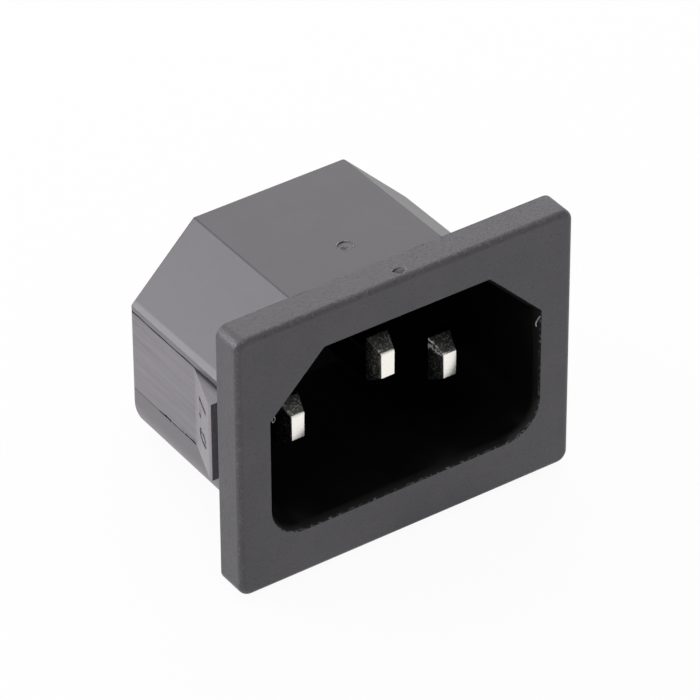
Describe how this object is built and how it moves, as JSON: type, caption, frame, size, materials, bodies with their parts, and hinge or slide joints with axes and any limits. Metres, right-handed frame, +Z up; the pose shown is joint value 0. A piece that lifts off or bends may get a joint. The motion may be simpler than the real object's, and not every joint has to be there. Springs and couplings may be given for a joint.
{
  "type": "c14 panel inlet socket",
  "caption": "Snap-in mains inlet for a panel: a black moulded flange and shroud with chamfered top corners, side snap wedges, and plated blades inside.",
  "frame": {"origin": "centre of the flange's rear face, the plane that lies on the panel", "axes": "-Y out of the mouth towards the user, +Y through the panel to the solder tags, +Z up to the chamfered corners and the earth blade, +X to the right seen from the front"},
  "size_m": [0.0306, 0.0246, 0.0238],
  "materials": {
    "housing_plastic": "fine matte moulded thermoplastic",
    "contact_plating": "bright tin or nickel plate on brass"
  },
  "bodies": {
    "root": {"housing": "housing_plastic", "line_contact": "contact_plating", "neutral_contact": "contact_plating", "earth_contact": "contact_plating"}
  },
  "joints": []
}
